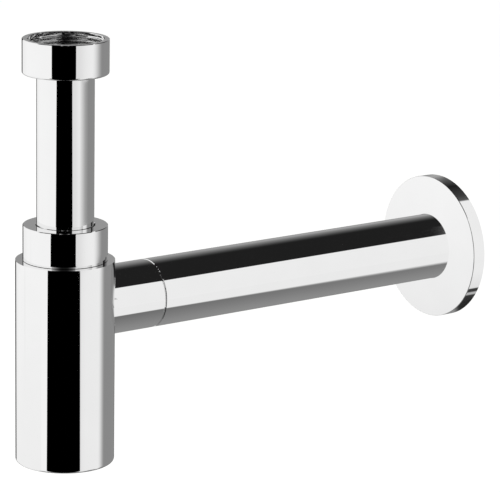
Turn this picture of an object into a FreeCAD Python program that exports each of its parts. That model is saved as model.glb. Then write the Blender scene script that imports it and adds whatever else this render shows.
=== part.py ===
import FreeCAD, Part
import math
import os
import Sketcher

# Basin trap: a chromed bottle trap with a telescopic inlet tube and a straight outlet to a wall rosette.
# Millimetres. +Z runs up the inlet, +X runs along the outlet to the wall.
# The origin is the middle of the union nut's mouth, where the basin waste screws in.

# Sizes that can be set by themselves. Every other size and place is worked out from these.
DRIVING_SIZES = {
    # Inlet tube, which sets the size of all that goes round it
    "tube_od": 32.0,
    "tube_wall": 1.0,
    "tube_visible_length": 84.8,
    "tube_overlap": 46.0,
    "flange_reach": 3.2,
    "flange_thickness": 1.6,
    "washer_thickness": 2.5,
    # Union nut on the basin waste. Its G 1 1/4 thread is 41.91 across the crests
    "union_thread_play": 1.755,
    "union_nut_wall": 3.045,
    "union_nut_height": 19.5,
    "union_nut_floor": 2.2,
    "union_thread_reach": 11.6,
    "union_relief_depth": 0.4,
    "union_bottom_round": 1.2,
    "union_ring_thickness": 1.2,
    # Conical seal round the tube
    "seal_waist_thickness": 3.2,
    "seal_taper": 1.2,
    "seal_height": 6.5,
    "seal_rim_height": 1.6,
    "seal_cone_height": 3.4,
    "seal_stand": 1.0,
    # Collar nut over the body's neck. Its fine thread is M44 x 1.5
    "neck_lip": 0.68,
    "collar_thread_depth": 0.92,
    "collar_nut_wall": 1.65,
    "collar_nut_height": 19.7,
    "collar_nut_floor": 2.4,
    "collar_gap": 0.2,
    "neck_headroom": 0.6,
    "collar_ring_thickness": 1.2,
    # Trap body
    "body_od": 55.5,
    "body_height": 116.3,
    "body_wall": 2.2,
    "body_roof": 3.0,
    "body_bottom_round": 1.5,
    "neck_relief_height": 1.6,
    "outlet_drop": 27.3,
    # Dip tube. It ends 51 under the pipe's lowest point, which makes the water seal
    "dip_tube_play": 0.5,
    "dip_tube_wall": 1.5,
    "dip_flange_thickness": 1.5,
    "dip_foot_gap": 11.4,
    # Cleaning plug in the body's underside. Its fine thread is M40 x 1.5
    "plug_seat_width": 5.55,
    "plug_head_thickness": 2.0,
    "plug_ring_margin": 0.71,
    "plug_thread_depth": 0.92,
    "plug_thread_length": 8.0,
    "plug_floor": 2.0,
    "plug_wall": 3.6,
    "hex_across_flats": 12.0,
    "hex_depth": 3.5,
    # Outlet
    "socket_reach": 26.75,
    "seam_gap": 0.8,
    "seam_bevel": 0.3,
    "spigot_length": 6.0,
    "pipe_stop_ledge": 3.45,
    "pipe_wall": 1.0,
    "sleeve_play": 2.6,
    "sleeve_wall": 1.0,
    "wall_reach": 271.1,
    "pipe_beyond_wall": 18.0,
    "sleeve_short_of_wall": 3.0,
    "depth_mark_width": 0.8,
    "depth_mark_depth": 0.3,
    "centring_ring_length": 10.0,
    "centring_ring_inset": 2.0,
    # Wall rosette
    "rosette_od": 85.7,
    "rosette_depth": 8.3,
    "rosette_wall": 1.3,
    "rosette_edge_round": 0.5,
    "rosette_hub_wall": 2.25,
    "rosette_hub_setback": 1.5,
    # Round sealing rings
    "seal_ring_section": 2.0,
    "plug_ring_section": 1.5,
    "seating_ring_section": 1.0,
    "ring_groove_play": 0.2,
    # Clearances on the radius, and small edges
    "running_gap": 0.1,
    "grip_gap": 0.05,
    "easy_gap": 0.4,
    "loose_gap": 0.5,
    "seat_gap": 0.15,
    "edge_break": 0.3,
    "tube_end_chamfer": 0.4,
}

PARTS_FOLDER = "parts"
AXIS_ALONG_X = FreeCAD.Rotation(FreeCAD.Vector(0, 1, 0), 90)

doc = FreeCAD.newDocument("basin_trap")
sizes = doc.addObject("Spreadsheet::Sheet", "sizes")
for row, (alias, number) in enumerate(DRIVING_SIZES.items(), start=1):
    sizes.set(f"A{row}", alias)
    sizes.set(f"B{row}", str(number))
    sizes.setAlias(f"B{row}", alias)
doc.recompute()


def half(diameter):
    return f"({diameter}) / 2"


# Radii, from the tube outwards
TUBE_R = half("sizes.tube_od")
TUBE_BORE_R = f"{TUBE_R} - sizes.tube_wall"
FLANGE_R = f"{TUBE_R} + sizes.flange_reach"
UNION_THREAD_R = f"{FLANGE_R} + sizes.union_thread_play"
UNION_RELIEF_R = f"{UNION_THREAD_R} + sizes.union_relief_depth"
UNION_R = f"{UNION_THREAD_R} + sizes.union_nut_wall"
SEAL_WAIST_R = f"{TUBE_R} + sizes.seal_waist_thickness"
SEAL_R = f"{SEAL_WAIST_R} + sizes.seal_taper"
NECK_R = f"{SEAL_R} + sizes.neck_lip"
COLLAR_THREAD_R = f"{NECK_R} + sizes.collar_thread_depth"
COLLAR_R = f"{COLLAR_THREAD_R} + sizes.collar_nut_wall"
DIP_BORE_R = f"{TUBE_R} + sizes.dip_tube_play"
DIP_R = f"{DIP_BORE_R} + sizes.dip_tube_wall"
BODY_R = half("sizes.body_od")
BODY_BORE_R = f"{BODY_R} - sizes.body_wall"
PLUG_THREAD_R = f"{BODY_BORE_R} - sizes.plug_seat_width"
PLUG_CORE_R = f"{PLUG_THREAD_R} - sizes.plug_thread_depth"
PLUG_RING_INNER_R = f"{PLUG_CORE_R} + sizes.plug_ring_margin"
PLUG_HEAD_R = f"{PLUG_RING_INNER_R} + sizes.plug_ring_section + sizes.plug_ring_margin"
PIPE_BORE_R = f"{TUBE_R} - sizes.pipe_wall"
SOCKET_R = f"{TUBE_R} + sizes.running_gap"
SLEEVE_BORE_R = f"{TUBE_R} + sizes.sleeve_play"
SPIGOT_R = f"{SLEEVE_BORE_R} - sizes.running_gap"
OUTLET_R = f"{SLEEVE_BORE_R} + sizes.sleeve_wall"
ROSETTE_R = half("sizes.rosette_od")
ROSETTE_GROOVE_R = f"{OUTLET_R} + sizes.grip_gap + sizes.seal_ring_section + sizes.running_gap"
ROSETTE_HUB_R = f"{ROSETTE_GROOVE_R} + sizes.rosette_hub_wall"

# Levels on the inlet axis, from the origin down
UNION_SHOULDER = "-sizes.union_nut_height + sizes.union_nut_floor"
UNION_RING_TOP = f"{UNION_SHOULDER} + sizes.union_ring_thickness"
TUBE_TOP = f"{UNION_RING_TOP} + sizes.flange_thickness"
WASHER_TOP = f"{TUBE_TOP} + sizes.washer_thickness"
COLLAR_TOP = "-sizes.union_nut_height - sizes.tube_visible_length"
COLLAR_SHOULDER = f"{COLLAR_TOP} - sizes.collar_nut_floor"
SEAL_TOP = f"{COLLAR_SHOULDER} - sizes.collar_ring_thickness"
SEAL_BOTTOM = f"{SEAL_TOP} - sizes.seal_height"
NECK_TOP = f"{SEAL_TOP} - sizes.seal_rim_height - sizes.seal_stand"
BODY_TOP = f"{COLLAR_TOP} - sizes.collar_nut_height - sizes.collar_gap"
OUTLET_LEVEL = f"{BODY_TOP} - sizes.outlet_drop"
BODY_BOTTOM = f"{BODY_TOP} - sizes.body_height"
PLUG_RING_ROOM = "sizes.plug_ring_section + 2 * sizes.grip_gap"
PLUG_TOP = f"{BODY_BOTTOM} + sizes.plug_head_thickness + {PLUG_RING_ROOM} + sizes.plug_thread_length"
TUBE_BOTTOM = f"{BODY_TOP} - sizes.tube_overlap"
DIP_BOTTOM = f"{PLUG_TOP} + sizes.dip_foot_gap"

# Places along the outlet, from the inlet axis to the wall
PIPE_STOP = f"{BODY_BORE_R} + sizes.pipe_stop_ledge"
SEAM = f"{BODY_R} + sizes.socket_reach"
SOCKET_RING_INNER = f"(2 * ({PIPE_STOP}) + {SEAM}) / 3"
SOCKET_RING_OUTER = f"({PIPE_STOP} + 2 * ({SEAM})) / 3"
SPIGOT_RING = f"{SEAM} + sizes.spigot_length / 2"
SPIGOT_END = f"{SEAM} + sizes.spigot_length"
SLEEVE_START = f"{SEAM} + sizes.seam_gap"
SLEEVE_END = "sizes.wall_reach - sizes.sleeve_short_of_wall"
PIPE_START = f"{PIPE_STOP} + sizes.running_gap"
PIPE_END = "sizes.wall_reach + sizes.pipe_beyond_wall"
HALF_RING_GROOVE = "(sizes.seal_ring_section + sizes.ring_groove_play) / 2"
HALF_SEATING_GROOVE = "(sizes.seating_ring_section + sizes.ring_groove_play) / 2"


def value(expression):
    return float(sizes.evalExpression(expression))


def place(piece, axis_rotation=None, **where):
    """Bind the piece's place, keeping the turn that its own axis needs."""
    if axis_rotation is not None:
        piece.Placement = FreeCAD.Placement(FreeCAD.Vector(), axis_rotation)
    for direction, expression in where.items():
        piece.setExpression(f"Placement.Base.{direction}", expression)


def new_body(name):
    body = doc.addObject("PartDesign::Body", name)
    body.Label = name
    return body


def origin_plane(body, role):
    return next(feature for feature in body.Origin.OriginFeatures if feature.Role == role)


def new_sketch(body, name, role):
    sketch = body.newObject("Sketcher::SketchObject", name)
    sketch.AttachmentSupport = (origin_plane(body, role), "")
    sketch.MapMode = "FlatFace"
    return sketch


def outline(body, name, corners):
    """Closed outline on the body's XZ plane, each corner a pair of expressions: across and up."""
    sketch = new_sketch(body, name, "XZ_Plane")
    points = [FreeCAD.Vector(value(across), value(up), 0) for across, up in corners]
    for start, end in zip(points, points[1:] + points[:1]):
        sketch.addGeometry(Part.LineSegment(start, end))
    for number, (across, up) in enumerate(corners):
        following = (number + 1) % len(corners)
        sketch.addConstraint(Sketcher.Constraint("Coincident", number, 2, following, 1))
        pin_down(sketch, number, "DistanceX", across, -2)
        pin_down(sketch, number, "DistanceY", up, -1)
    return sketch


def pin_down(sketch, line, kind, expression, axis):
    """Bind one coordinate of a line's first point. A point on an axis is held on it instead."""
    if expression == "0":
        sketch.addConstraint(Sketcher.Constraint("PointOnObject", line, 1, axis))
        return
    index = sketch.addConstraint(Sketcher.Constraint(kind, line, 1, value(expression)))
    sketch.setExpression(f"Constraints[{index}]", expression)


def revolve(body, name, corners, kind="PartDesign::Revolution", axis="V_Axis"):
    sketch = outline(body, f"{name}_outline", corners)
    turn = body.newObject(kind, name)
    turn.Profile = sketch
    turn.ReferenceAxis = (sketch, [axis])
    turn.Angle = 360
    sketch.Visibility = False
    doc.recompute()
    return turn


def hollow(body, name, corners, axis="V_Axis"):
    before = body.Shape.Volume
    groove = revolve(body, name, corners, "PartDesign::Groove", axis)
    if groove.Shape.Volume >= before:
        raise RuntimeError(f"{name} takes nothing away")
    return groove


def circle_edges(shape, radius, level, normal=FreeCAD.Vector(0, 0, 1)):
    """Names of the round edges with this radius whose centre is at this level along the normal."""
    names = []
    for number, edge in enumerate(shape.Edges, start=1):
        curve = edge.Curve
        if not isinstance(curve, Part.Circle):
            continue
        same_size = math.isclose(curve.Radius, value(radius), abs_tol=1e-4)
        same_level = math.isclose(curve.Center.dot(normal), value(level), abs_tol=1e-4)
        if same_size and same_level:
            names.append(f"Edge{number}")
    if not names:
        raise RuntimeError(f"no round edge of radius {radius} at {level}")
    return names


def dress(body, name, kind, spots, size):
    """Round or chamfer the edges at the given radii and levels."""
    base = body.Tip
    names = [edge for spot in spots for edge in circle_edges(base.Shape, *spot)]
    edge_work = body.newObject(kind, name)
    edge_work.Base = (base, names)
    edge_work.setExpression("Radius" if kind.endswith("Fillet") else "Size", size)
    doc.recompute()
    return edge_work


def ring_section(inner, outer, bottom, top):
    return [(inner, bottom), (outer, bottom), (outer, top), (inner, top)]


def plain_ring(name, inner, outer, thickness, level):
    """Flat ring on the inlet axis whose top face is at the given level."""
    body = new_body(name)
    revolve(body, f"{name}_turned", ring_section(inner, outer, f"-({thickness})", "0"))
    place(body, z=level)
    return body


def round_ring(name, inner, section, axis_rotation=None, **where):
    """Sealing ring of round section, given by its inner radius."""
    ring = doc.addObject("Part::Torus", name)
    ring.Label = name
    ring.setExpression("Radius1", f"{inner} + {section} / 2")
    ring.setExpression("Radius2", f"{section} / 2")
    place(ring, axis_rotation, **where)
    return ring


def union_nut():
    body = new_body("union_nut")
    hole_r = f"{TUBE_R} + sizes.easy_gap"
    revolve(body, "union_nut_turned", [
        (UNION_THREAD_R, "0"),
        (UNION_R, "0"),
        (UNION_R, "-sizes.union_nut_height"),
        (hole_r, "-sizes.union_nut_height"),
        (hole_r, UNION_SHOULDER),
        (UNION_RELIEF_R, UNION_SHOULDER),
        (UNION_RELIEF_R, "-sizes.union_thread_reach"),
        (UNION_THREAD_R, "-sizes.union_thread_reach"),
    ])
    dress(body, "union_nut_foot", "PartDesign::Fillet",
          [(UNION_R, "-sizes.union_nut_height")], "sizes.union_bottom_round")
    dress(body, "union_nut_mouth", "PartDesign::Chamfer",
          [(UNION_R, "0"), (UNION_THREAD_R, "0")], "sizes.edge_break")
    return body


def inlet_tube():
    """Tube with a flange turned out at its top, drawn from the flange's upper face down."""
    body = new_body("inlet_tube")
    length = f"({TUBE_TOP}) - ({TUBE_BOTTOM})"
    revolve(body, "inlet_tube_turned", [
        (TUBE_BORE_R, "0"),
        (FLANGE_R, "0"),
        (FLANGE_R, "-sizes.flange_thickness"),
        (TUBE_R, "-sizes.flange_thickness"),
        (TUBE_R, f"-({length})"),
        (TUBE_BORE_R, f"-({length})"),
    ])
    dress(body, "inlet_tube_bend", "PartDesign::Fillet", [(TUBE_BORE_R, "0")], "sizes.tube_wall / 2")
    dress(body, "inlet_tube_lead", "PartDesign::Chamfer",
          [(TUBE_R, f"-({length})")], "sizes.tube_end_chamfer")
    place(body, z=TUBE_TOP)
    return body


def collar_nut():
    body = new_body("collar_nut")
    hole_r = f"{TUBE_R} + sizes.easy_gap"
    pocket_r = f"{SEAL_R} + sizes.loose_gap"
    thread_top = f"{NECK_TOP} + sizes.neck_headroom - ({COLLAR_TOP})"
    revolve(body, "collar_nut_turned", [
        (hole_r, "0"),
        (COLLAR_R, "0"),
        (COLLAR_R, "-sizes.collar_nut_height"),
        (COLLAR_THREAD_R, "-sizes.collar_nut_height"),
        (COLLAR_THREAD_R, thread_top),
        (pocket_r, thread_top),
        (pocket_r, "-sizes.collar_nut_floor"),
        (hole_r, "-sizes.collar_nut_floor"),
    ])
    dress(body, "collar_nut_edges", "PartDesign::Chamfer",
          [(COLLAR_R, "0"), (hole_r, "0")], "sizes.edge_break")
    place(body, z=COLLAR_TOP)
    return body


def seal_profile_r(depth):
    """Radius of the cone at a depth below its start."""
    taper = f"({SEAL_R} - ({SEAL_WAIST_R})) / sizes.seal_cone_height"
    return f"{SEAL_R} - ({depth}) * {taper}"


def collar_seal():
    """Conical rubber washer that grips the tube and is wedged into the neck's mouth."""
    body = new_body("collar_seal")
    inner = f"{TUBE_R} + sizes.grip_gap"
    cone_end = "-sizes.seal_rim_height - sizes.seal_cone_height"
    revolve(body, "collar_seal_moulded", [
        (inner, "0"),
        (SEAL_R, "0"),
        (SEAL_R, "-sizes.seal_rim_height"),
        (SEAL_WAIST_R, cone_end),
        (SEAL_WAIST_R, "-sizes.seal_height"),
        (inner, "-sizes.seal_height"),
    ])
    place(body, z=SEAL_TOP)
    return body


def trap_body():
    """Cup with its threaded neck and the outlet socket, drawn about the crossing of its two axes."""
    body = new_body("trap_body")
    top = "sizes.outlet_drop"
    bottom = "sizes.outlet_drop - sizes.body_height"
    neck_top = f"{NECK_TOP} - ({OUTLET_LEVEL})"
    neck_relief_r = f"{NECK_R} - sizes.edge_break"
    relief_top = "sizes.outlet_drop + sizes.neck_relief_height"
    revolve(body, "trap_cup", [
        ("0", bottom),
        (BODY_R, bottom),
        (BODY_R, top),
        (neck_relief_r, top),
        (neck_relief_r, relief_top),
        (NECK_R, relief_top),
        (NECK_R, neck_top),
        ("0", neck_top),
    ])
    revolve(body, "outlet_socket", [
        ("0", "0"),
        ("0", OUTLET_R),
        (SEAM, OUTLET_R),
        (SEAM, SPIGOT_R),
        (SPIGOT_END, SPIGOT_R),
        (SPIGOT_END, "0"),
    ], axis="H_Axis")

    seal_start = f"({SEAL_TOP}) - ({OUTLET_LEVEL}) - sizes.seal_rim_height"
    mouth_r = f"{seal_profile_r('sizes.seal_stand')} + sizes.seat_gap"
    throat_r = f"{SEAL_WAIST_R} + sizes.seat_gap"
    throat_top = f"{seal_start} - sizes.seal_cone_height"
    ledge = f"({SEAL_BOTTOM}) - ({OUTLET_LEVEL}) - sizes.dip_flange_thickness"
    dip_hole_r = f"{DIP_R} + sizes.easy_gap"
    roof = "sizes.outlet_drop - sizes.body_roof"
    thread_bottom = f"{bottom} + sizes.plug_head_thickness + {PLUG_RING_ROOM}"
    floor_top = f"{thread_bottom} + sizes.plug_thread_length"
    recess_r = f"{PLUG_HEAD_R} + sizes.edge_break"
    hollow(body, "trap_chamber", [
        ("0", neck_top),
        (mouth_r, neck_top),
        (throat_r, throat_top),
        (throat_r, ledge),
        (dip_hole_r, ledge),
        (dip_hole_r, roof),
        (BODY_BORE_R, roof),
        (BODY_BORE_R, floor_top),
        (PLUG_THREAD_R, floor_top),
        (PLUG_THREAD_R, thread_bottom),
        (recess_r, thread_bottom),
        (recess_r, bottom),
        ("0", bottom),
    ])

    ring_groove_r = f"{TUBE_R} + sizes.grip_gap + sizes.seal_ring_section + sizes.running_gap"
    groove_corners = []
    for middle in (SOCKET_RING_OUTER, SOCKET_RING_INNER):
        groove_corners += [
            (f"{middle} + {HALF_RING_GROOVE}", SOCKET_R),
            (f"{middle} + {HALF_RING_GROOVE}", ring_groove_r),
            (f"{middle} - {HALF_RING_GROOVE}", ring_groove_r),
            (f"{middle} - {HALF_RING_GROOVE}", SOCKET_R),
        ]
    hollow(body, "socket_bore", [
        ("0", "0"),
        (SPIGOT_END, "0"),
        (SPIGOT_END, SOCKET_R),
        *groove_corners,
        (PIPE_STOP, SOCKET_R),
        (PIPE_STOP, PIPE_BORE_R),
        ("0", PIPE_BORE_R),
    ], axis="H_Axis")
    spigot_groove_r = f"{SPIGOT_R} + sizes.running_gap - sizes.grip_gap - sizes.seating_ring_section"
    hollow(body, "spigot_groove", [
        (f"{SPIGOT_RING} - {HALF_SEATING_GROOVE}", spigot_groove_r),
        (f"{SPIGOT_RING} + {HALF_SEATING_GROOVE}", spigot_groove_r),
        (f"{SPIGOT_RING} + {HALF_SEATING_GROOVE}", OUTLET_R),
        (f"{SPIGOT_RING} - {HALF_SEATING_GROOVE}", OUTLET_R),
    ], axis="H_Axis")

    foot_round = f"min(sizes.body_bottom_round; ({BODY_R} - ({recess_r})) / 2)"
    dress(body, "trap_foot", "PartDesign::Fillet", [(BODY_R, bottom)], foot_round)
    along = FreeCAD.Vector(1, 0, 0)
    dress(body, "spigot_edges", "PartDesign::Chamfer",
          [(SPIGOT_R, SPIGOT_END, along), (SOCKET_R, SPIGOT_END, along)], "sizes.edge_break")
    dress(body, "trap_seam", "PartDesign::Chamfer", [(OUTLET_R, SEAM, along)], "sizes.seam_bevel")
    place(body, z=OUTLET_LEVEL)
    return body


def dip_tube():
    """Plastic tube hung by its flange in the neck. Its open end stands below the outlet's lowest point."""
    body = new_body("dip_tube")
    length = f"({SEAL_BOTTOM}) - ({DIP_BOTTOM})"
    revolve(body, "dip_tube_moulded", [
        (DIP_BORE_R, "0"),
        (SEAL_WAIST_R, "0"),
        (SEAL_WAIST_R, "-sizes.dip_flange_thickness"),
        (DIP_R, "-sizes.dip_flange_thickness"),
        (DIP_R, f"-({length})"),
        (DIP_BORE_R, f"-({length})"),
    ])
    dress(body, "dip_tube_lead", "PartDesign::Chamfer",
          [(DIP_R, f"-({length})")], "sizes.dip_tube_wall / 2")
    place(body, z=SEAL_BOTTOM)
    return body


def bottom_plug():
    """Screw plug, drawn from its outer face up: a hollow thread, and a hexagon socket in the head."""
    body = new_body("bottom_plug")
    shoulder = "sizes.plug_head_thickness"
    top = f"{shoulder} + {PLUG_RING_ROOM} + sizes.plug_thread_length"
    cavity_r = f"{PLUG_CORE_R} - sizes.plug_wall"
    floor = "sizes.hex_depth + sizes.plug_floor"
    revolve(body, "bottom_plug_turned", [
        ("0", "0"),
        (PLUG_HEAD_R, "0"),
        (PLUG_HEAD_R, shoulder),
        (PLUG_CORE_R, shoulder),
        (PLUG_CORE_R, top),
        (cavity_r, top),
        (cavity_r, floor),
        ("0", floor),
    ])
    hexagon_socket(body)
    dress(body, "bottom_plug_edges", "PartDesign::Chamfer",
          [(PLUG_HEAD_R, "0"), (PLUG_CORE_R, top)], "sizes.edge_break")
    place(body, z=BODY_BOTTOM)
    return body


def hexagon_socket(body):
    sides = 6
    sketch = new_sketch(body, "hexagon_outline", "XY_Plane")
    reach = "sizes.hex_across_flats / sqrt(3)"
    corners = []
    for number in range(sides):
        angle = math.radians(number * 360 / sides)
        corners.append(FreeCAD.Vector(value(reach) * math.cos(angle), value(reach) * math.sin(angle), 0))
    for start, end in zip(corners, corners[1:] + corners[:1]):
        sketch.addGeometry(Part.LineSegment(start, end))
    guide = Part.Circle(FreeCAD.Vector(), FreeCAD.Vector(0, 0, 1), value(reach))
    circle = sketch.addGeometry(guide, True)
    sketch.addConstraint(Sketcher.Constraint("Coincident", circle, 3, -1, 1))
    index = sketch.addConstraint(Sketcher.Constraint("Radius", circle, value(reach)))
    sketch.setExpression(f"Constraints[{index}]", reach)
    for number in range(sides):
        sketch.addConstraint(Sketcher.Constraint("Coincident", number, 2, (number + 1) % sides, 1))
        sketch.addConstraint(Sketcher.Constraint("PointOnObject", number, 1, circle))
        if number:
            sketch.addConstraint(Sketcher.Constraint("Equal", 0, number))
    sketch.addConstraint(Sketcher.Constraint("PointOnObject", 0, 1, -1))
    before = body.Shape.Volume
    pocket = body.newObject("PartDesign::Pocket", "hexagon_socket")
    pocket.Profile = sketch
    pocket.Reversed = True
    pocket.setExpression("Length", "sizes.hex_depth")
    sketch.Visibility = False
    doc.recompute()
    if pocket.Shape.Volume >= before:
        raise RuntimeError("the hexagon socket takes nothing away")


def outlet_pipe():
    """Pipe from the socket to the wall, drawn along its own axis. A shallow ring marks the wall's plane."""
    body = new_body("outlet_pipe")
    end = f"({PIPE_END}) - ({PIPE_START})"
    mark = f"sizes.wall_reach - ({PIPE_START})"
    mark_r = f"{TUBE_R} - sizes.depth_mark_depth"
    revolve(body, "outlet_pipe_drawn", ring_section(PIPE_BORE_R, TUBE_R, "0", end))
    hollow(body, "depth_mark", ring_section(mark_r, f"{TUBE_R} + sizes.edge_break",
                                            f"{mark} - sizes.depth_mark_width", mark))
    dress(body, "outlet_pipe_leads", "PartDesign::Chamfer",
          [(TUBE_R, "0"), (TUBE_R, end)], "sizes.tube_end_chamfer")
    place(body, AXIS_ALONG_X, x=PIPE_START, z=OUTLET_LEVEL)
    return body


def cover_sleeve():
    body = new_body("cover_sleeve")
    length = f"({SLEEVE_END}) - ({SLEEVE_START})"
    revolve(body, "cover_sleeve_drawn", ring_section(SLEEVE_BORE_R, OUTLET_R, "0", length))
    dress(body, "cover_sleeve_seam", "PartDesign::Chamfer", [(OUTLET_R, "0")], "sizes.seam_bevel")
    dress(body, "cover_sleeve_end", "PartDesign::Chamfer", [(OUTLET_R, length)], "sizes.edge_break")
    place(body, AXIS_ALONG_X, x=SLEEVE_START, z=OUTLET_LEVEL)
    return body


def sleeve_centring_ring():
    """Plastic ring pushed into the sleeve's wall end. It slides on the pipe on two narrow lands."""
    body = new_body("sleeve_centring_ring")
    outer = f"{SLEEVE_BORE_R} - sizes.grip_gap"
    inner = f"{TUBE_R} + sizes.running_gap"
    relief = f"{TUBE_R} + sizes.loose_gap + sizes.running_gap"
    length = "sizes.centring_ring_length"
    revolve(body, "centring_ring_moulded", [
        (inner, "0"),
        (outer, "0"),
        (outer, length),
        (inner, length),
        (inner, f"{length} * 3 / 4"),
        (relief, f"{length} * 3 / 4"),
        (relief, f"{length} / 4"),
        (inner, f"{length} / 4"),
    ])
    start = f"{SLEEVE_END} - sizes.centring_ring_inset - {length}"
    place(body, AXIS_ALONG_X, x=start, z=OUTLET_LEVEL)
    return body


def wall_rosette():
    """Turned disc, open at the back, whose hub slides on the sleeve. Drawn from the wall out, upside down."""
    body = new_body("wall_rosette")
    bore_r = f"{OUTLET_R} + sizes.seat_gap"
    front = "-sizes.rosette_depth"
    inside = f"{front} + sizes.rosette_wall"
    hub_back = "-sizes.rosette_hub_setback"
    hub_middle = f"({front} + {hub_back}) / 2"
    rim_bore_r = f"{ROSETTE_R} - sizes.rosette_wall"
    revolve(body, "wall_rosette_turned", [
        (bore_r, front),
        (ROSETTE_R, front),
        (ROSETTE_R, "0"),
        (rim_bore_r, "0"),
        (rim_bore_r, inside),
        (ROSETTE_HUB_R, inside),
        (ROSETTE_HUB_R, hub_back),
        (bore_r, hub_back),
        (bore_r, f"{hub_middle} + {HALF_RING_GROOVE}"),
        (ROSETTE_GROOVE_R, f"{hub_middle} + {HALF_RING_GROOVE}"),
        (ROSETTE_GROOVE_R, f"{hub_middle} - {HALF_RING_GROOVE}"),
        (bore_r, f"{hub_middle} - {HALF_RING_GROOVE}"),
    ])
    dress(body, "wall_rosette_rim", "PartDesign::Fillet", [(ROSETTE_R, front)], "sizes.rosette_edge_round")
    place(body, AXIS_ALONG_X, x="sizes.wall_reach", z=OUTLET_LEVEL)
    return body


def sealing_rings():
    gripping = f"{TUBE_R} + sizes.grip_gap"
    section = "sizes.seal_ring_section"
    seating = "sizes.seating_ring_section"
    hub_middle = "sizes.wall_reach - (sizes.rosette_depth + sizes.rosette_hub_setback) / 2"
    plug_ring_level = f"{BODY_BOTTOM} + sizes.plug_head_thickness + sizes.grip_gap + sizes.plug_ring_section / 2"
    return [
        round_ring("socket_ring_inner", gripping, section, AXIS_ALONG_X, x=SOCKET_RING_INNER, z=OUTLET_LEVEL),
        round_ring("socket_ring_outer", gripping, section, AXIS_ALONG_X, x=SOCKET_RING_OUTER, z=OUTLET_LEVEL),
        round_ring("sleeve_seating_ring", f"{SLEEVE_BORE_R} - sizes.grip_gap - {seating}", seating,
                   AXIS_ALONG_X, x=SPIGOT_RING, z=OUTLET_LEVEL),
        round_ring("rosette_grip_ring", f"{OUTLET_R} + sizes.grip_gap", section,
                   AXIS_ALONG_X, x=hub_middle, z=OUTLET_LEVEL),
        round_ring("plug_seal_ring", PLUG_RING_INNER_R, "sizes.plug_ring_section", z=plug_ring_level),
    ]


def build_all():
    return [
        union_nut(),
        plain_ring("union_slip_ring", f"{TUBE_R} + sizes.easy_gap", FLANGE_R,
                   "sizes.union_ring_thickness", UNION_RING_TOP),
        inlet_tube(),
        plain_ring("inlet_washer", TUBE_R, f"{UNION_THREAD_R} - 2 * sizes.loose_gap",
                   "sizes.washer_thickness", WASHER_TOP),
        collar_nut(),
        plain_ring("collar_slip_ring", f"{TUBE_R} + sizes.easy_gap", SEAL_R,
                   "sizes.collar_ring_thickness", COLLAR_SHOULDER),
        collar_seal(),
        trap_body(),
        dip_tube(),
        bottom_plug(),
        outlet_pipe(),
        cover_sleeve(),
        sleeve_centring_ring(),
        wall_rosette(),
        *sealing_rings(),
    ]


def check_and_write(pieces):
    doc.recompute()
    for item in doc.Objects:
        if "Invalid" in item.State or "Error" in item.State:
            raise RuntimeError(f"{item.Label} failed: {item.State}")
    os.makedirs(PARTS_FOLDER, exist_ok=True)
    for piece in pieces:
        if piece.Shape.isNull() or not piece.Shape.isValid() or len(piece.Shape.Solids) != 1:
            raise RuntimeError(f"{piece.Label} is not one valid solid")
    for piece in pieces:
        piece.Shape.exportStep(os.path.join(PARTS_FOLDER, f"{piece.Label}.step"))
        box = piece.Shape.BoundBox
        print(f"{piece.Label:22s} {piece.Shape.Volume:10.1f} mm3",
              f"x {box.XMin:.2f} {box.XMax:.2f}", f"y {box.YMin:.2f} {box.YMax:.2f}",
              f"z {box.ZMin:.2f} {box.ZMax:.2f}")


check_and_write(build_all())
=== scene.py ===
"""Basin trap: finishes, threads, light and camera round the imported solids. Lengths in metres."""
import math

import bmesh
import bpy
from mathutils import Matrix, Vector


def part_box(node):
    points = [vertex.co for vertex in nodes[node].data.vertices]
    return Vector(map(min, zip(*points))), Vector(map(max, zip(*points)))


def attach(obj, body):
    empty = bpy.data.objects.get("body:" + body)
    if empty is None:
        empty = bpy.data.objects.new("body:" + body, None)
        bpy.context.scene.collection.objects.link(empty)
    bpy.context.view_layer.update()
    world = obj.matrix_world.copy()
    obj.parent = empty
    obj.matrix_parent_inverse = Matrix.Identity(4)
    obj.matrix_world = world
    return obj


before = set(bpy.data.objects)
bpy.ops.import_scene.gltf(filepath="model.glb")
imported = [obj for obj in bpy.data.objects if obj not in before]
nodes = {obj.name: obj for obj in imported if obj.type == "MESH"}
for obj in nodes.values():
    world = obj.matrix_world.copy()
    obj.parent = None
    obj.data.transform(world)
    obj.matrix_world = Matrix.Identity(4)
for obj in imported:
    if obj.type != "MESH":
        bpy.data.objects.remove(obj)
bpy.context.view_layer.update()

MM = 0.001
WHITE = (1.0, 1.0, 1.0, 1.0)
NOISE, RAMP, BUMP = "ShaderNodeTexNoise", "ShaderNodeValToRGB", "ShaderNodeBump"
MATH, RANGE, MIX = "ShaderNodeMath", "ShaderNodeMapRange", "ShaderNodeMix"


# Helpers

def linear(hex_colour):
    """An sRGB hex colour as linear red, green, blue and alpha."""
    channels = [int(hex_colour[i:i + 2], 16) / 255 for i in (1, 3, 5)]
    return [c / 12.92 if c <= 0.04045 else ((c + 0.055) / 1.055) ** 2.4 for c in channels] + [1.0]


def add_node(tree, kind, sockets=None, **settings):
    """One node: its settings, and for each socket a value, or the output or node that feeds it."""
    made = tree.nodes.new(kind)
    for name, value in settings.items():
        setattr(made, name, value)
    for name, value in (sockets or {}).items():
        if isinstance(value, bpy.types.Node):
            value = next(output for output in value.outputs if output.enabled)
        if isinstance(value, bpy.types.NodeSocket):
            tree.links.new(value, made.inputs[name])
        else:
            made.inputs[name].default_value = value
    return made


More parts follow.
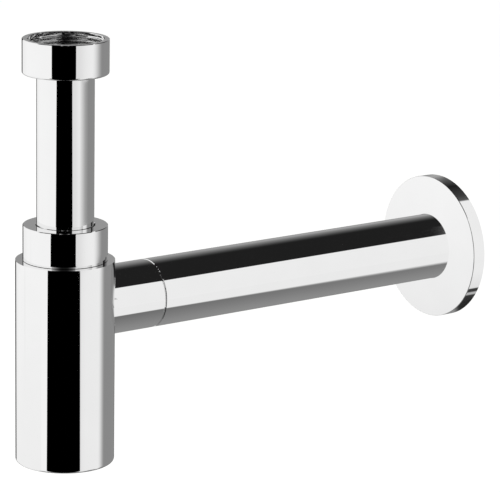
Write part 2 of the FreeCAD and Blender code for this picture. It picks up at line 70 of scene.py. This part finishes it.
def set_stops(ramp_node, stops):
    """Give a colour ramp its stops: position, and linear colour or grey level."""
    ramp = ramp_node.color_ramp
    while len(ramp.elements) > 1:
        ramp.elements.remove(ramp.elements[-1])
    for number, (position, colour) in enumerate(stops):
        stop = ramp.elements[0] if number == 0 else ramp.elements.new(position)
        stop.position = position
        stop.color = colour if hasattr(colour, "__len__") else (colour, colour, colour, 1.0)


def empty_material(name):
    """A material without nodes, and its tree."""
    material = bpy.data.materials.new(name)
    material.use_nodes = True
    material.node_tree.nodes.clear()
    return material, material.node_tree


def put_in_scene(name, data):
    """An object with this name and data, linked to the scene."""
    made = bpy.data.objects.new(name, data)
    bpy.context.scene.collection.objects.link(made)
    return made


def mesh_object(name, shape, material):
    """An object made from a bmesh, all in one material."""
    mesh = bpy.data.meshes.new(name)
    shape.to_mesh(mesh)
    shape.free()
    mesh.materials.append(material)
    return put_in_scene(name, mesh)


def aimed(place, direction):
    """The matrix of a lamp or camera at a place, looking along a direction, upright."""
    return Matrix.Translation(place) @ direction.to_track_quat("-Z", "Y").to_matrix().to_4x4()


# Finishes

def new_finish(name):
    """A material with a principled shader, and the Object coordinates it reads."""
    material, tree = empty_material(name)
    shader = add_node(tree, "ShaderNodeBsdfPrincipled")
    add_node(tree, "ShaderNodeOutputMaterial", {"Surface": shader.outputs["BSDF"]})
    place = add_node(tree, "ShaderNodeTexCoord").outputs["Object"]
    return material, tree, shader, place


def bright_chrome_plate():
    """Chromium over bright nickel on buffed brass.

    It gives the eye a near mirror with the faint cloudiness of a wiped surface, and a wander of the
    reflections that is only just there, as buffing leaves it.
    """
    material, tree, shader, place = new_finish("bright_chrome_plate_on_brass")
    # wiped film: clouds about 25 mm wide
    film = add_node(tree, NOISE, {"Vector": place, "Scale": 1 / (25 * MM), "Detail": 3.0,
                                  "Roughness": 0.55})
    colour = add_node(tree, RAMP, {"Fac": film.outputs["Fac"]})
    set_stops(colour, [(0.3, linear("#F1F1F1")), (0.7, linear("#F3F3F3"))])
    tree.links.new(colour.outputs["Color"], shader.inputs["Base Color"])
    # buffing marks: 0.4 mm grain, seen only as a slight change in the gloss
    grain = add_node(tree, NOISE, {"Vector": place, "Scale": 1 / (0.4 * MM), "Detail": 2.0})
    gloss = add_node(tree, MATH, {0: film.outputs["Fac"], 1: grain.outputs["Fac"]},
                     operation="MULTIPLY")
    rough = add_node(tree, RANGE, {"Value": gloss.outputs["Value"], "From Min": 0.12,
                                   "From Max": 0.4, "To Min": 0.012, "To Max": 0.03})
    tree.links.new(rough.outputs["Result"], shader.inputs["Roughness"])
    # buffing wander: waves 18 mm long and about a micron high
    wander = add_node(tree, NOISE, {"Vector": place, "Scale": 1 / (18 * MM), "Detail": 0.0})
    bump = add_node(tree, BUMP, {"Height": wander.outputs["Fac"], "Strength": 1.0,
                                 "Distance": 0.002 * MM})
    tree.links.new(bump.outputs["Normal"], shader.inputs["Normal"])
    shader.inputs["Metallic"].default_value = 1.0
    return material


def moulded_rubber():
    """EPDM rubber pressed in a mould.

    It gives the eye a dull black with a soft sheen, a greyish bloom in patches and a fine skin.
    """
    material, tree, shader, place = new_finish("moulded_epdm_rubber")
    # bloom: greyish patches about 6 mm wide
    bloom = add_node(tree, NOISE, {"Vector": place, "Scale": 1 / (6 * MM), "Detail": 4.0})
    colour = add_node(tree, RAMP, {"Fac": bloom.outputs["Fac"]})
    set_stops(colour, [(0.35, linear("#161617")), (0.7, linear("#232324"))])
    tree.links.new(colour.outputs["Color"], shader.inputs["Base Color"])
    rough = add_node(tree, RANGE, {"Value": bloom.outputs["Fac"], "From Min": 0.3,
                                   "From Max": 0.7, "To Min": 0.52, "To Max": 0.68})
    tree.links.new(rough.outputs["Result"], shader.inputs["Roughness"])
    # the mould's skin: grain of 0.3 mm
    skin = add_node(tree, NOISE, {"Vector": place, "Scale": 1 / (0.3 * MM), "Detail": 2.0})
    bump = add_node(tree, BUMP, {"Height": skin.outputs["Fac"], "Strength": 0.5,
                                 "Distance": 0.02 * MM})
    tree.links.new(bump.outputs["Normal"], shader.inputs["Normal"])
    shader.inputs["IOR"].default_value = 1.5
    return material


def moulded_polypropylene():
    """White polypropylene, injection moulded.

    It gives the eye a warm white with a waxy half gloss and a trace of flow in the colour.
    """
    material, tree, shader, place = new_finish("moulded_polypropylene")
    # flow: long pale streaks, 12 mm apart, drawn out along the dip tube's length
    along = add_node(tree, "ShaderNodeMapping", {"Vector": place, "Scale": (1.0, 1.0, 0.25)})
    flow = add_node(tree, NOISE, {"Vector": along.outputs["Vector"], "Scale": 1 / (12 * MM),
                                  "Detail": 3.0})
    colour = add_node(tree, RAMP, {"Fac": flow.outputs["Fac"]})
    set_stops(colour, [(0.3, linear("#E3E1D8")), (0.7, linear("#EDEBE4"))])
    tree.links.new(colour.outputs["Color"], shader.inputs["Base Color"])
    rough = add_node(tree, RANGE, {"Value": flow.outputs["Fac"], "From Min": 0.3,
                                   "From Max": 0.7, "To Min": 0.36, "To Max": 0.46})
    tree.links.new(rough.outputs["Result"], shader.inputs["Roughness"])
    # spark-eroded mould: grain of 0.5 mm
    grain = add_node(tree, NOISE, {"Vector": place, "Scale": 1 / (0.5 * MM), "Detail": 1.0})
    bump = add_node(tree, BUMP, {"Height": grain.outputs["Fac"], "Strength": 0.4,
                                 "Distance": 0.01 * MM})
    tree.links.new(bump.outputs["Normal"], shader.inputs["Normal"])
    shader.inputs["IOR"].default_value = 1.49
    return material


FINISHES = {
    "chromed_brass": bright_chrome_plate(),
    "rubber": moulded_rubber(),
    "white_plastic": moulded_polypropylene(),
}
for node in nodes.values():
    for material_slot in node.material_slots:
        material_slot.material = FINISHES[material_slot.material.name.split(".")[0]]


# Threads

FADE_TURNS = 0.5         # how many turns a ridge takes to rise from its ends
FADED = 0.04             # the ridge's size at its very ends, as a share of the full size
CORNER_STEPS = 3         # flats in each rounded corner of the ridge
WELD = 0.0005 * MM       # points nearer than this are joined


def thread_ridge_tree():
    """The tree that winds one thread: a rounded trapezoid up a helix, fading at its ends."""
    tree = bpy.data.node_groups.new("thread_ridge", "GeometryNodeTree")
    tree.interface.new_socket("Geometry", in_out="OUTPUT", socket_type="NodeSocketGeometry")
    for name, kind, value in (
        ("Base Radius", "NodeSocketFloat", 20 * MM), ("Ridge Height", "NodeSocketFloat", MM),
        ("Base Width", "NodeSocketFloat", MM), ("Crest Width", "NodeSocketFloat", 0.2 * MM),
        ("Rounding", "NodeSocketFloat", 0.1 * MM), ("Root Sink", "NodeSocketFloat", 0.05 * MM),
        ("Start Height", "NodeSocketFloat", 0.0), ("Rise", "NodeSocketFloat", 10 * MM),
        ("Turns", "NodeSocketFloat", 5.0), ("Fade Turns", "NodeSocketFloat", FADE_TURNS),
        ("Start Angle", "NodeSocketFloat", 0.0), ("Segments", "NodeSocketInt", 64),
        ("Inward", "NodeSocketFloat", 1.0), ("Finish", "NodeSocketMaterial", None),
    ):
        socket = tree.interface.new_socket(name, in_out="INPUT", socket_type=kind)
        if value is not None:
            socket.default_value = value
    sizes = add_node(tree, "NodeGroupInput").outputs
    helix = add_node(tree, "GeometryNodeCurveSpiral", {
        "Resolution": sizes["Segments"], "Rotations": sizes["Turns"],
        "Start Radius": sizes["Base Radius"], "End Radius": sizes["Base Radius"],
        "Height": sizes["Rise"]})
    # the ridge's height points straight out from the Z axis all the way
    here = add_node(tree, "GeometryNodeInputPosition")
    outward = add_node(tree, "ShaderNodeVectorMath", {
        0: here.outputs["Position"], 1: (1.0, 1.0, 0.0)}, operation="MULTIPLY")
    facing = add_node(tree, "ShaderNodeVectorMath", {0: outward.outputs["Vector"]},
                      operation="NORMALIZE")
    steady = add_node(tree, "GeometryNodeSetCurveNormal", {
        "Curve": helix.outputs["Curve"], "Normal": facing.outputs["Vector"]}, mode="FREE")
    # the profile: its root lies just under the wall, so that no gap shows
    form = add_node(tree, "GeometryNodeCurvePrimitiveQuadrilateral", {
        "Height": sizes["Ridge Height"], "Bottom Width": sizes["Base Width"],
        "Top Width": sizes["Crest Width"], "Offset": 0.0}, mode="TRAPEZOID")
    half = add_node(tree, MATH, {0: sizes["Ridge Height"], 1: 0.5}, operation="MULTIPLY")
    lifted = add_node(tree, MATH, {0: half.outputs["Value"], 1: sizes["Root Sink"]},
                      operation="SUBTRACT")
    rounded = add_node(tree, "GeometryNodeFilletCurve", {
        "Curve": form.outputs["Curve"], "Count": CORNER_STEPS, "Radius": sizes["Rounding"],
        "Limit Radius": True}, mode="POLY")
    lift = add_node(tree, "ShaderNodeCombineXYZ", {"Y": lifted.outputs["Value"]})
    raised = add_node(tree, "GeometryNodeTransform", {
        "Geometry": rounded.outputs["Curve"], "Translation": lift.outputs["Vector"]})
    quarter = add_node(tree, MATH, {0: sizes["Inward"], 1: math.pi / 2}, operation="MULTIPLY")
    quarter_turn = add_node(tree, "ShaderNodeCombineXYZ", {"Z": quarter.outputs["Value"]})
    profile = add_node(tree, "GeometryNodeTransform", {
        "Geometry": raised.outputs["Geometry"], "Rotation": quarter_turn.outputs["Vector"]})
    # how far along in turns, from the nearer end
    along = add_node(tree, "GeometryNodeSplineParameter")
    turned = add_node(tree, MATH, {0: along.outputs["Factor"], 1: sizes["Turns"]},
                      operation="MULTIPLY")
    left = add_node(tree, MATH, {0: sizes["Turns"], 1: turned.outputs["Value"]},
                    operation="SUBTRACT")
    nearer = add_node(tree, MATH, {0: turned.outputs["Value"], 1: left.outputs["Value"]},
                      operation="MINIMUM")
    fade = add_node(tree, RANGE, {
        "Value": nearer.outputs["Value"], "From Min": 0.0, "From Max": sizes["Fade Turns"],
        "To Min": FADED, "To Max": 1.0}, interpolation_type="SMOOTHSTEP")
    ridge = add_node(tree, "GeometryNodeCurveToMesh", {
        "Curve": steady.outputs["Curve"], "Profile Curve": profile.outputs["Geometry"],
        "Scale": fade.outputs["Result"], "Fill Caps": True})
    spun = add_node(tree, "ShaderNodeCombineXYZ", {"Z": sizes["Start Angle"]})
    raise_to = add_node(tree, "ShaderNodeCombineXYZ", {"Z": sizes["Start Height"]})
    placed = add_node(tree, "GeometryNodeTransform", {
        "Geometry": ridge.outputs["Mesh"], "Translation": raise_to.outputs["Vector"],
        "Rotation": spun.outputs["Vector"]})
    smooth = add_node(tree, "GeometryNodeSetShadeSmooth", {"Geometry": placed.outputs["Geometry"]})
    real = add_node(tree, "GeometryNodeRealizeInstances", {"Geometry": smooth.outputs["Geometry"]})
    dressed = add_node(tree, "GeometryNodeSetMaterial", {
        "Geometry": real.outputs["Geometry"], "Material": sizes["Finish"]})
    add_node(tree, "NodeGroupOutput", {"Geometry": dressed.outputs["Geometry"]})
    return tree


def wind_thread(name, body, tree, values):
    """Wind one thread with the tree, make it a plain mesh and let it ride its body."""
    carrier = put_in_scene(name + "_carrier", bpy.data.meshes.new(name + "_carrier"))
    modifier = carrier.modifiers.new("thread", "NODES")
    modifier.node_group = tree
    for item in tree.interface.items_tree:
        if item.in_out == "INPUT" and item.name in values:
            modifier[item.identifier] = values[item.name]
    bpy.context.view_layer.update()
    depsgraph = bpy.context.evaluated_depsgraph_get()
    mesh = bpy.data.meshes.new_from_object(carrier.evaluated_get(depsgraph), depsgraph=depsgraph)
    bpy.data.objects.remove(carrier)
    shell = bmesh.new()
    shell.from_mesh(mesh)
    bmesh.ops.remove_doubles(shell, verts=shell.verts, dist=WELD)
    bmesh.ops.recalc_face_normals(shell, faces=shell.faces)
    shell.to_mesh(mesh)
    shell.free()
    mesh.name = name
    thread = put_in_scene(name, mesh)
    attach(thread, body)


def highest(node):
    """A node's top, in millimetres."""
    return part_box(node)[1][2] / MM


# Two forms of ridge, in millimetres: the G 1 1/4 pipe thread with eleven to the inch, and the fine
# metric thread of the collar and the plug.
PIPE_FORM = {"pitch": 2.309, "base": 2.05, "crest": 0.62, "rounding": 0.3, "segments": 96}
FINE_FORM = {"pitch": 1.5, "base": 1.11, "crest": 0.19, "rounding": 0.05, "segments": 64}
ROOT_SINK = 0.05         # how far a ridge's root lies under the wall
MOUTH_LEAD = 1.3         # plain lead-in under the union nut's mouth
MOUTH_DEPTH = 11.6       # from the union nut's mouth down to its washer
NECK_HEADROOM = 0.6      # the collar nut's thread starts this far over the neck
NECK_THREAD = 11.9
PLUG_THREAD = 8.0
mouth, neck_top, plug_top = highest("union_nut"), highest("trap_body"), highest("bottom_plug")
collar_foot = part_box("collar_nut")[0][2] / MM
# A mating pair lies half a pitch apart. Radii and levels are in millimetres.
THREADS = (
    # name, body, form, wall radius, crest radius, top, bottom, phase in turns
    ("union_nut_thread", "union_nut", PIPE_FORM, 20.955, 19.476,
     mouth - MOUTH_LEAD, mouth - MOUTH_DEPTH, 0.0),
    ("collar_nut_thread", "collar_nut", FINE_FORM, 22.0, 21.18,
     neck_top + NECK_HEADROOM, collar_foot, 0.0),
    ("neck_thread", "trap_body", FINE_FORM, 21.08, 21.9, neck_top, neck_top - NECK_THREAD, 0.5),
    ("plug_bore_thread", "trap_body", FINE_FORM, 20.0, 19.18,
     plug_top, plug_top - PLUG_THREAD, 0.0),
    ("plug_thread", "bottom_plug", FINE_FORM, 19.08, 19.9, plug_top, plug_top - PLUG_THREAD, 0.5),
)
ridge_tree = thread_ridge_tree()
for name, body, form, wall, crest, top, bottom, phase in THREADS:
    wind_thread(name, body, ridge_tree, {
        "Base Radius": wall * MM,
        "Ridge Height": (abs(crest - wall) + ROOT_SINK) * MM,
        "Base Width": form["base"] * MM,
        "Crest Width": form["crest"] * MM,
        "Rounding": form["rounding"] * MM,
        "Root Sink": ROOT_SINK * MM,
        "Start Height": bottom * MM,
        "Rise": (top - bottom) * MM,
        "Turns": (top - bottom) / form["pitch"],
        "Fade Turns": FADE_TURNS,
        "Start Angle": (phase - bottom / form["pitch"]) * 2 * math.pi,
        "Segments": form["segments"],
        "Inward": 1.0 if crest < wall else -1.0,
        "Finish": FINISHES["chromed_brass"],
    })


# Studio

# The chrome mirrors the world. Each direction in it has a bearing from +X, a height above the
# horizon, a roll about the X axis (0 in front, 90 overhead, 180 behind), all in degrees, and a
# share of +X.
world = bpy.data.worlds.new("studio")
bpy.context.scene.world = world
world.use_nodes = True
sky = world.node_tree
sky.nodes.clear()
toward = add_node(sky, "ShaderNodeTexCoord").outputs["Generated"]
split = add_node(sky, "ShaderNodeSeparateXYZ", {"Vector": toward})
share = split.outputs["X"]
DEGREES = 180 / math.pi
ahead = add_node(sky, MATH, {0: split.outputs["Y"], 1: -1.0}, operation="MULTIPLY")
bearing, roll, height = (
    add_node(sky, MATH, {0: angle, 1: DEGREES}, operation="MULTIPLY") for angle in (
        add_node(sky, MATH, {0: split.outputs["Y"], 1: share}, operation="ARCTAN2"),
        add_node(sky, MATH, {0: split.outputs["Z"], 1: ahead}, operation="ARCTAN2"),
        add_node(sky, MATH, {0: split.outputs["Z"]}, operation="ARCSINE")))


def levels_along(measure, stops):
    """Brightness along one measure, in straight runs between the stops."""
    low, high = stops[0][0], stops[-1][0]
    place = add_node(sky, RANGE, {"Value": measure, "From Min": low, "From Max": high})
    ramp = add_node(sky, RAMP, {"Fac": place})
    set_stops(ramp, [((at - low) / (high - low), level) for at, level in stops])
    return ramp


# The panels' sides are not quite plumb: for each height, where the black flag starts and ends,
# where the right wall falls off to grey, and over how many degrees each side of that.
SIDES = (
    # height, flag from, flag to, fall at, fall width
    (-20.0, -167.5, -86.6, -29.0, 11.0),
    (-17.6, -165.5, -87.3, -29.0, 11.0),
    (-14.31, -163.9, -88.5, -29.0, 11.0),
    (-14.22, -163.0, -94.5, -29.0, 11.0),
    (-14.0, -163.0, -94.5, -23.5, 20.0),
    (-13.65, -163.0, -94.5, -23.5, 20.0),
    (-13.56, -161.5, -94.5, -23.5, 20.0),
    (-13.48, -161.4, -94.5, -23.5, 20.0),
    (-13.42, -161.4, -94.5, -23.0, 3.0),
    (-10.67, -158.9, -96.7, -23.0, 3.0),
    (-10.62, -159.9, -95.6, -30.0, 20.0),
    (-9.5, -159.9, -95.6, -30.0, 20.0),
    (-6.0, -159.9, -95.6, -29.0, 8.0),
)
LOWEST_SIDE, HIGHEST_SIDE = SIDES[0][0], SIDES[-1][0]
SIDE_FROM, SIDE_SPAN = -180.0, 360.0     # the degrees that the ramp's 0 to 1 stand for
by_height = add_node(sky, RANGE, {"Value": height, "From Min": LOWEST_SIDE,
                                  "From Max": HIGHEST_SIDE})
side_ramp = add_node(sky, RAMP, {"Fac": by_height})
set_stops(side_ramp, [((row[0] - LOWEST_SIDE) / (HIGHEST_SIDE - LOWEST_SIDE),
                       [(value - SIDE_FROM) / SIDE_SPAN for value in row[1:]]) for row in SIDES])
side_split = add_node(sky, "ShaderNodeSeparateColor", {"Color": side_ramp.outputs["Color"]})
flag_from, flag_to, fall_at, fall_width = (
    add_node(sky, RANGE, {"Value": part, "To Min": SIDE_FROM, "To Max": SIDE_FROM + SIDE_SPAN})
    for part in (side_split.outputs["Red"], side_split.outputs["Green"],
                 side_split.outputs["Blue"], side_ramp.outputs["Alpha"]))

# the ground's far edge, and how soft it is, between two bearings
GROUND_TURN = {"Value": bearing, "From Min": -47.0, "From Max": -34.0}
ground_edge = add_node(sky, RANGE, {**GROUND_TURN, "To Min": -36.5, "To Max": -40.2})
ground_blur = add_node(sky, RANGE, {**GROUND_TURN, "To Min": 1.0, "To Max": 3.2})
# the wall behind gets brighter downwards, from the dark of the ceiling
CEILING_DARK = 0.0148
behind_fade = levels_along(roll, (
    (100.0, CEILING_DARK), (117.0, CEILING_DARK), (122.0, 0.021), (127.6, 0.047), (133.4, 0.083),
    (139.6, 0.138), (147.0, 0.2), (155.0, 0.29), (163.0, 0.39), (180.0, 0.42)))
behind_side = add_node(sky, RANGE, {"Value": bearing, "From Min": 51.5, "From Max": 57.0,
                                    "To Min": 1.0, "To Max": 0.8})
behind = add_node(sky, MATH, {0: behind_fade, 1: behind_side}, operation="MULTIPLY")

# light walls all round, with a black flag behind from 60 to 81 degrees
walls = levels_along(bearing, (
    (-180.0, 1.0), (-160.0, 1.0), (-100.0, 0.79), (-90.0, 0.8), (-82.0, 0.835), (-74.0, 0.88),
    (-66.0, 0.915), (-58.0, 0.935), (-50.0, 0.942), (59.0, 0.942), (60.0, 0.0), (81.0, 0.0),
    (82.0, 0.92), (90.0, 0.935), (104.0, 0.97), (116.0, 1.01), (150.0, 1.01), (180.0, 1.0)))
walls_low = levels_along(bearing, (
    (-92.0, 0.81), (-86.0, 0.855), (-82.0, 0.893), (-78.0, 0.91), (-74.0, 0.92), (-42.0, 0.925)))
left_low = add_node(sky, RANGE, {"Value": height, "From Min": -14.3, "From Max": -18.0,
                                 "To Min": 1.0, "To Max": 0.955})
ground = levels_along(bearing, (
    (-180.0, 0.9), (-92.0, 0.8), (-62.0, 0.8), (-56.0, 0.178), (-45.0, 0.178), (-36.0, 0.206),
    (-20.0, 0.23), (0.0, 0.253), (20.0, 0.27), (45.0, 0.285), (60.0, 0.285), (61.0, 0.0),
    (81.0, 0.0), (82.0, 0.9), (180.0, 0.9)))
# the front flag's top, which the ledge on the cup mirrors, is black in its middle alone
flag_top = levels_along(bearing, (
    (-162.0, 0.55), (-158.5, 0.48), (-153.0, 0.29), (-147.6, 0.15), (-142.0, 0.057),
    (-136.7, 0.016), (-131.0, 0.009), (-120.0, 0.009), (-115.0, 0.015), (-109.4, 0.05),
    (-104.0, 0.1), (-98.5, 0.25), (-94.0, 0.4)))
# round the wall plate's rim: a light board in front, dark over and under it, a slit of light
# below
plate_surround = levels_along(roll, (
    (-180.0, 0.06), (-155.0, 0.03), (-104.0, 0.02), (-86.0, 0.04), (-83.8, 0.5), (-80.0, 0.5),
    (-77.8, 0.045), (-71.4, 0.05), (-70.0, 0.83), (-40.0, 0.93), (83.8, 0.945), (84.6, 0.11),
    (95.0, 0.05), (120.0, 0.013), (148.0, 0.13), (172.0, 0.38), (180.0, 0.4)))
PLATE_SHARE = (share, 0.634, 0.72, 0.001)
PLATE_FOOT_SHARE = (share, 0.632, 0.72, 0.001)
# the tube's right side: a softer fall of light, which begins in the net close to the tube
tube_fall = levels_along(bearing, (
    (-56.0, 0.942), (-50.0, 0.942), (-48.5, 0.938), (-48.1, 0.57), (-45.0, 0.511),
    (-39.8, 0.426), (-34.4, 0.366), (-28.7, 0.331), (-24.0, 0.305)))
board_low = add_node(sky, RANGE, {"Value": height, "From Min": -12.5, "From Max": -14.9,
                                  "To Min": 1.02, "To Max": 0.93})
UP, DOWN, BACK = 91.0, -91.0, 181.0      # past the zenith, the nadir and straight behind: no edge
# each panel: its level, and for each measure from where to where it reaches, and how softly
PANELS = (
    ("walls, low down", walls_low,
     ((bearing, -100.0, 20.0, 0.5), (height, DOWN, -14.31, 0.05))),
    ("left wall, low down", left_low,
     ((bearing, 100.0, BACK, 3.0), (height, DOWN, -14.31, 0.05))),
    ("fall of light on the tube", tube_fall,
     ((bearing, -56.0, -20.0, 0.5), (height, -13.45, -10.645, 0.03))),
    ("grey back wall", 0.275, ((bearing, fall_at, 59.0, fall_width),)),
    ("left wall, shaded low down", board_low,
     ((bearing, 128.8, 131.8, 0.2), (height, -16.0, -10.0, 1.0))),
    ("wall behind", behind, ((bearing, 0.0, 59.0, 0.5), (height, 0.0, UP, 8.0))),
    ("dark ceiling", CEILING_DARK, ((roll, 48.8, 119.0, 0.6), (height, 30.0, UP, 3.0))),
    ("dark ceiling behind", CEILING_DARK, ((bearing, 59.0, BACK, 1.0), (height, 50.0, UP, 3.0))),
    ("ground", ground, ((height, DOWN, ground_edge, ground_blur),)),
    ("ground close by", 0.2, ((height, DOWN, -60.0, 2.0),)),
    ("black flag in front", 0.0, ((bearing, flag_from, flag_to, 0.35),)),
    ("black flag's soft top", flag_top,
     ((bearing, flag_from, flag_to, 0.35), (height, 13.9, UP, 0.1))),
    ("round the wall plate, above", plate_surround, (PLATE_SHARE, (height, 18.0, UP, 1.0))),
    ("round the wall plate, below", plate_surround, (PLATE_SHARE, (height, DOWN, -18.0, 1.0))),
    ("under the wall plate", plate_surround, (PLATE_FOOT_SHARE, (roll, -BACK, -79.0, 1.0))),
)
level = walls
for panel, brightness, edges in PANELS:
    cover = None
    for measure, start, stop, blur in edges:
        for edge, sign in ((start, 1.0), (stop, -1.0)):
            past = add_node(sky, MATH, {0: measure, 1: edge}, operation="SUBTRACT")
            inside = add_node(sky, MATH, {0: past, 1: sign}, operation="MULTIPLY")
            before = add_node(sky, MATH, {0: blur, 1: -1.0}, operation="MULTIPLY")
            part = add_node(sky, RANGE, {"Value": inside, "From Min": before, "From Max": blur},
                            interpolation_type="SMOOTHSTEP")
            cover = part if cover is None else add_node(sky, MATH, {0: cover, 1: part},
                                                        operation="MULTIPLY")
    level = add_node(sky, MIX, {"Factor": cover, "A": level, "B": brightness}, label=panel)

# Reflections alone see the panels. Diffuse light comes from a plain level, and the eye sees white.
PLAIN_LIGHT = 0.85
rays = add_node(sky, "ShaderNodeLightPath").outputs
seen_straight = add_node(sky, MATH, {0: rays["Is Camera Ray"], 1: rays["Is Transmission Ray"]},
                         operation="MAXIMUM")
level = add_node(sky, MIX, {"Factor": rays["Is Glossy Ray"], "A": PLAIN_LIGHT, "B": level})
level = add_node(sky, MIX, {"Factor": seen_straight, "A": level, "B": 1.0})
backdrop = add_node(sky, "ShaderNodeBackground", {"Color": WHITE, "Strength": level})
add_node(sky, "ShaderNodeOutputWorld", {"Surface": backdrop})


# Floor

FLOOR_HEIGHT = -0.62     # the wall outlet sits about this far above a bathroom floor
FLOOR_RADIUS = 12.0
FLOOR_LIFT = 0.25        # light of its own that the camera sees, so that the board stays white


def pale_floor():
    """Painted board, off-white, that stays white round the object's shadow.

    Its underside is left clear, so that the part shows from below too.
    """
    material, tree = empty_material("painted_board")
    seen_directly = add_node(tree, "ShaderNodeLightPath")
    lift = add_node(tree, MATH, {0: seen_directly.outputs["Is Camera Ray"], 1: FLOOR_LIFT},
                    operation="MULTIPLY")
    board = add_node(tree, "ShaderNodeBsdfPrincipled", {
        "Base Color": linear("#F2F2F1"), "Roughness": 0.9, "Specular IOR Level": 0.0,
        "Emission Color": WHITE, "Emission Strength": lift.outputs["Value"]})
    underside = add_node(tree, "ShaderNodeNewGeometry").outputs["Backfacing"]
    clear = add_node(tree, "ShaderNodeBsdfTransparent")
    both = add_node(tree, "ShaderNodeMixShader", {
        0: underside, 1: board.outputs["BSDF"], 2: clear.outputs["BSDF"]})
    add_node(tree, "ShaderNodeOutputMaterial", {"Surface": both.outputs["Shader"]})
    return material


shape = bmesh.new()
bmesh.ops.create_circle(shape, cap_ends=True, segments=64, radius=FLOOR_RADIUS,
                        matrix=Matrix.Translation((0.1, 0.0, FLOOR_HEIGHT)))
floor = mesh_object("floor", shape, pale_floor())
floor.visible_glossy = False


# Net

# A piece of net hangs in front of the tube, seen in the tube's chrome alone. Its slanting top and
# bottom keep it out of the two nuts' reflections.
NET_LEFT, NET_RIGHT, NET_FRONT = 0.0362, 0.0761, -0.1
NET_CORNERS = ((NET_LEFT, -0.1248), (NET_RIGHT, -0.129),
               (NET_RIGHT, -0.0396), (NET_LEFT, -0.0362))


def grey_net():
    """Grey net, denser to the right: it takes light from what is seen through it."""
    material, tree = empty_material("grey_net")
    place = add_node(tree, "ShaderNodeTexCoord").outputs["Object"]
    across = add_node(tree, "ShaderNodeSeparateXYZ", {"Vector": place}).outputs["X"]
    along = add_node(tree, RANGE, {"Value": across, "From Min": NET_LEFT, "From Max": NET_RIGHT})
    density = add_node(tree, RAMP, {"Fac": along})
    set_stops(density, ((0.0, 1.0), (0.085, 0.961), (0.318, 0.848), (0.581, 0.735),
                        (0.885, 0.642), (1.0, 0.61)))
    veil = add_node(tree, "ShaderNodeBsdfTransparent", {"Color": density.outputs["Color"]})
    add_node(tree, "ShaderNodeOutputMaterial", {"Surface": veil})
    return material


shape = bmesh.new()
shape.faces.new([shape.verts.new((x, NET_FRONT, z)) for x, z in NET_CORNERS])
net = mesh_object("net", shape, grey_net())
net.visible_camera = False
net.visible_diffuse = False
net.visible_transmission = False


# Lamp

LAMP_PLACE = Vector((-1.3, -1.2, 1.7))
LAMP_TARGET = Vector((0.1, 0.0, -0.1))
LAMP_WIDTH = 1.4
LAMP_POWER = 14.0        # watts
lamp_data = bpy.data.lights.new("soft_light", "AREA")
lamp_data.shape = "DISK"
lamp_data.size = LAMP_WIDTH
lamp_data.energy = LAMP_POWER
lamp = put_in_scene("soft_light", lamp_data)
lamp.matrix_world = aimed(LAMP_PLACE, LAMP_TARGET - LAMP_PLACE)
lamp.visible_glossy = False

# The photo's chrome shows no second image of the outlet or the wall plate, so these pieces don't
# show in other pieces' chrome.
for name in ("cover_sleeve", "outlet_pipe", "sleeve_centring_ring", "wall_rosette",
             "rosette_grip_ring"):
    nodes[name].visible_glossy = False


# Camera

VIEW_AZIMUTH = math.radians(-36.730)
VIEW_ELEVATION = math.radians(13.787)
VIEW_ROLL = math.radians(0.997)
VIEW_DISTANCE = 1.65289
VIEW_TARGET = Vector((0.08209, -0.06123, -0.11493))
LENS, SENSOR_WIDTH = 214.69, 36.0        # millimetres
VIEW_DEPTH = 100.0
back = Vector((math.sin(VIEW_AZIMUTH) * math.cos(VIEW_ELEVATION),
               -math.cos(VIEW_AZIMUTH) * math.cos(VIEW_ELEVATION), math.sin(VIEW_ELEVATION)))
camera_data = bpy.data.cameras.new("camera")
camera_data.lens = LENS
camera_data.sensor_width = SENSOR_WIDTH
camera_data.sensor_fit = "HORIZONTAL"
camera_data.clip_end = VIEW_DEPTH
camera = put_in_scene("camera", camera_data)
camera.matrix_world = (aimed(VIEW_TARGET + back * VIEW_DISTANCE, -back)
                       @ Matrix.Rotation(VIEW_ROLL, 4, "Z"))
bpy.context.scene.camera = camera
bpy.context.scene.view_settings.view_transform = "Standard"
